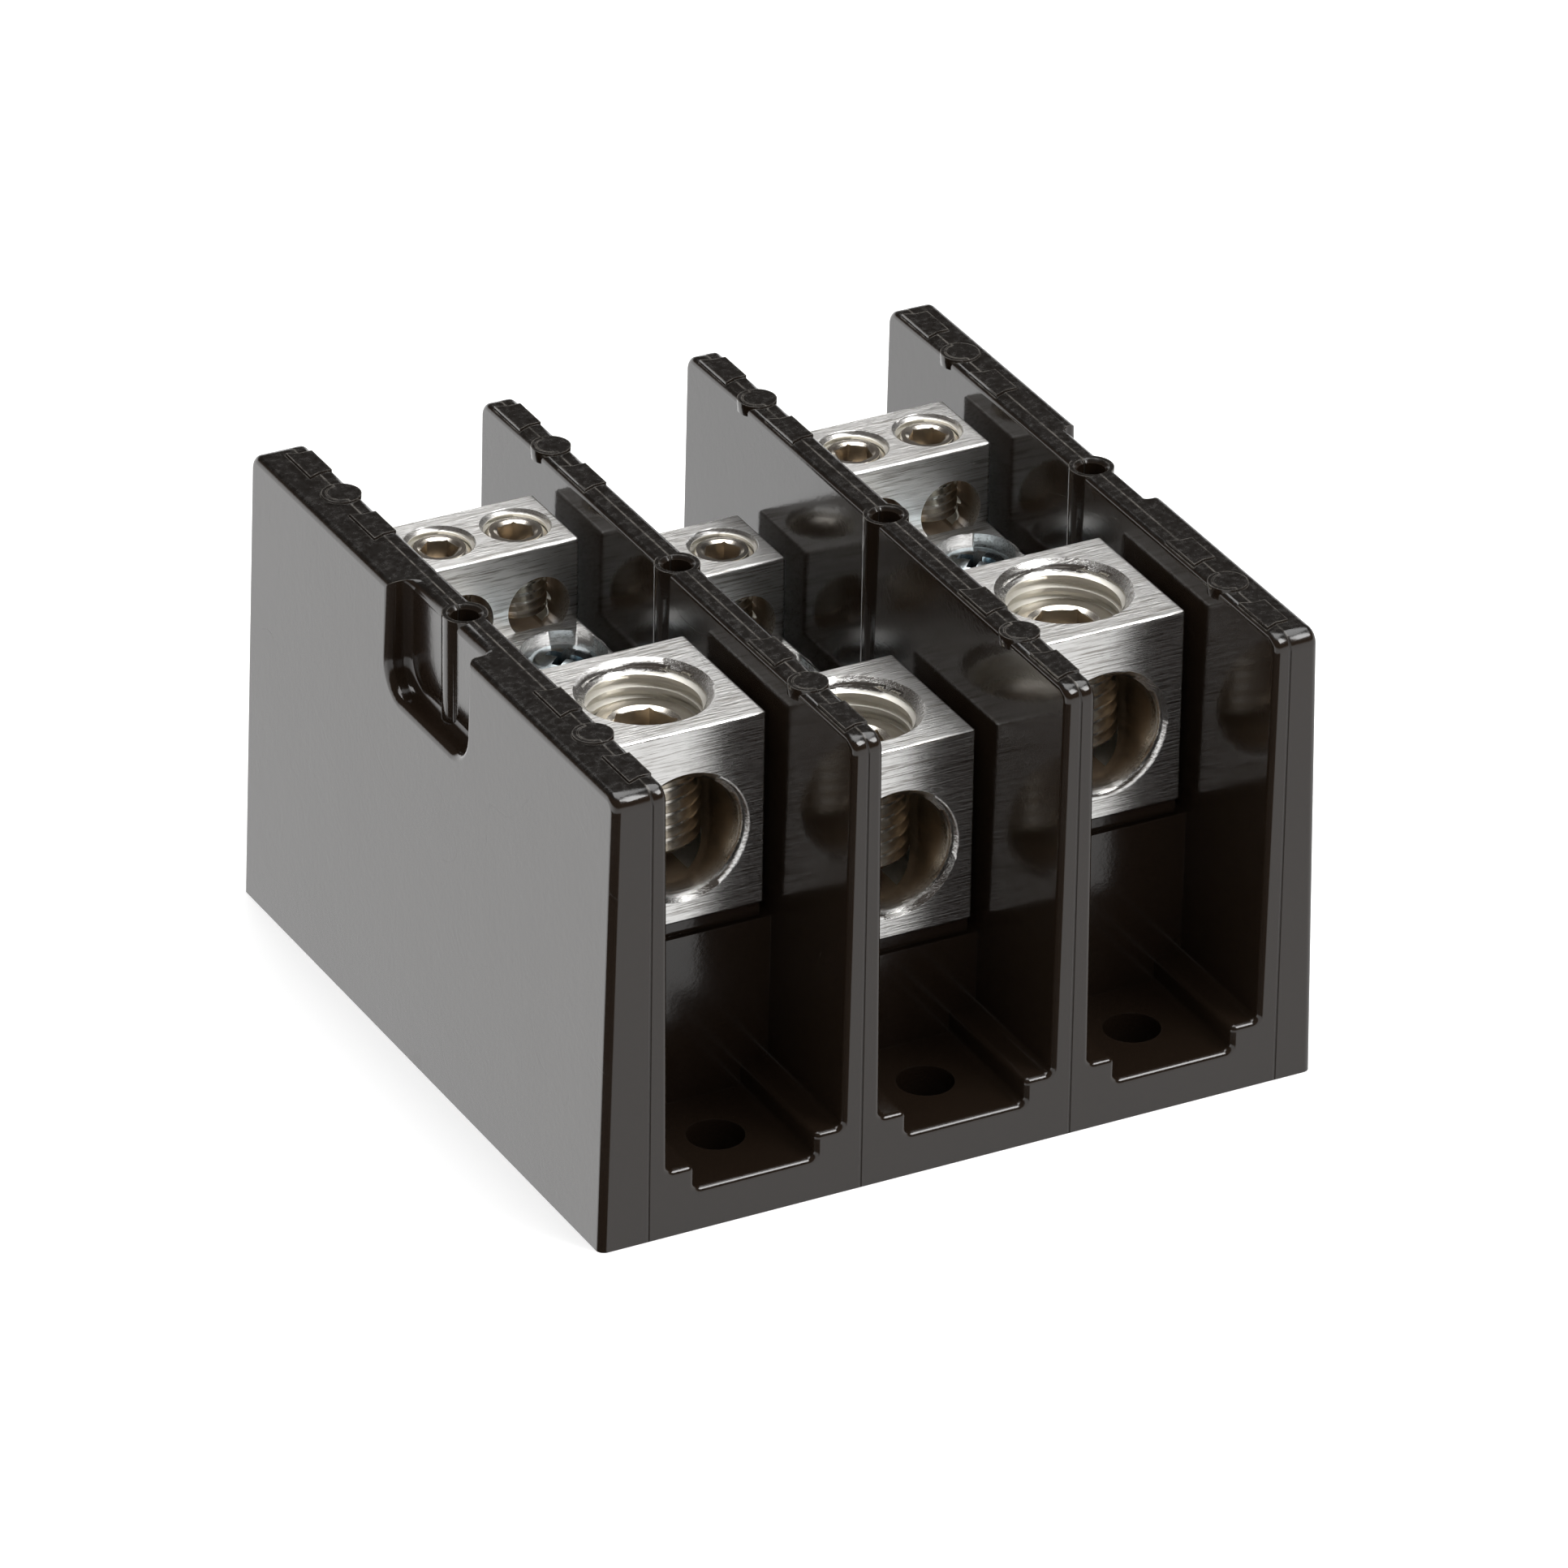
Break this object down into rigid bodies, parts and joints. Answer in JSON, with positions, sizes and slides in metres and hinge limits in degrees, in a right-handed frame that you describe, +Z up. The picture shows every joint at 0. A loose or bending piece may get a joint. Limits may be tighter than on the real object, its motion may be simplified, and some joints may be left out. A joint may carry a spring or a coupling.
{
  "type": "terminal block",
  "caption": "Moulded power terminal block with barrier walls between its poles and aluminium connectors that clamp a line wire and load wires under set screws.",
  "frame": {"origin": "on the underside, under the middle of the middle pole, in the plane of the panel that it stands on", "axes": "+X across the poles from left to right, -Y to the line side, +Z up and away from the panel"},
  "size_m": [0.0723, 0.073, 0.0457],
  "materials": {
    "black_moulding": "glossy moulded black",
    "connector_aluminium": "brushed, bright",
    "set_screw_steel": "bright nickel plate",
    "zinc_screw": "bluish zinc plate"
  },
  "bodies": {
    "housing": {"end_plate_left": "black_moulding", "end_plate_right": "black_moulding", "pole_base_1": "black_moulding", "connector_1": "connector_aluminium", "fixing_screw_1_back": "zinc_screw", "fixing_screw_1_front": "zinc_screw", "pole_base_2": "black_moulding", "connector_2": "connector_aluminium", "fixing_screw_2_back": "zinc_screw", "fixing_screw_2_front": "zinc_screw", "pole_base_3": "black_moulding", "connector_3": "connector_aluminium", "fixing_screw_3_back": "zinc_screw", "fixing_screw_3_front": "zinc_screw"},
    "line_screw_1": {"line_screw_1": "set_screw_steel"},
    "line_screw_2": {"line_screw_2": "set_screw_steel"},
    "line_screw_3": {"line_screw_3": "set_screw_steel"},
    "load_screw_1_left": {"load_screw_1_left": "set_screw_steel"},
    "load_screw_1_right": {"load_screw_1_right": "set_screw_steel"},
    "load_screw_2_left": {"load_screw_2_left": "set_screw_steel"},
    "load_screw_2_right": {"load_screw_2_right": "set_screw_steel"},
    "load_screw_3_left": {"load_screw_3_left": "set_screw_steel"},
    "load_screw_3_right": {"load_screw_3_right": "set_screw_steel"}
  },
  "joints": [
    {"name": "line_screw_1_travel", "type": "slide", "parent": "housing", "child": "line_screw_1", "axis": [0, 0, 1], "range_m": [-0.0017, 0.0092]},
    {"name": "line_screw_2_travel", "type": "slide", "parent": "housing", "child": "line_screw_2", "axis": [0, 0, 1], "range_m": [-0.0017, 0.0092]},
    {"name": "line_screw_3_travel", "type": "slide", "parent": "housing", "child": "line_screw_3", "axis": [0, 0, 1], "range_m": [-0.0017, 0.0092]},
    {"name": "load_screw_1_left_travel", "type": "slide", "parent": "housing", "child": "load_screw_1_left", "axis": [0, 0, 1], "range_m": [-0.0005, 0.0053]},
    {"name": "load_screw_1_right_travel", "type": "slide", "parent": "housing", "child": "load_screw_1_right", "axis": [0, 0, 1], "range_m": [-0.0005, 0.0053]},
    {"name": "load_screw_2_left_travel", "type": "slide", "parent": "housing", "child": "load_screw_2_left", "axis": [0, 0, 1], "range_m": [-0.0005, 0.0053]},
    {"name": "load_screw_2_right_travel", "type": "slide", "parent": "housing", "child": "load_screw_2_right", "axis": [0, 0, 1], "range_m": [-0.0005, 0.0053]},
    {"name": "load_screw_3_left_travel", "type": "slide", "parent": "housing", "child": "load_screw_3_left", "axis": [0, 0, 1], "range_m": [-0.0005, 0.0053]},
    {"name": "load_screw_3_right_travel", "type": "slide", "parent": "housing", "child": "load_screw_3_right", "axis": [0, 0, 1], "range_m": [-0.0005, 0.0053]}
  ]
}
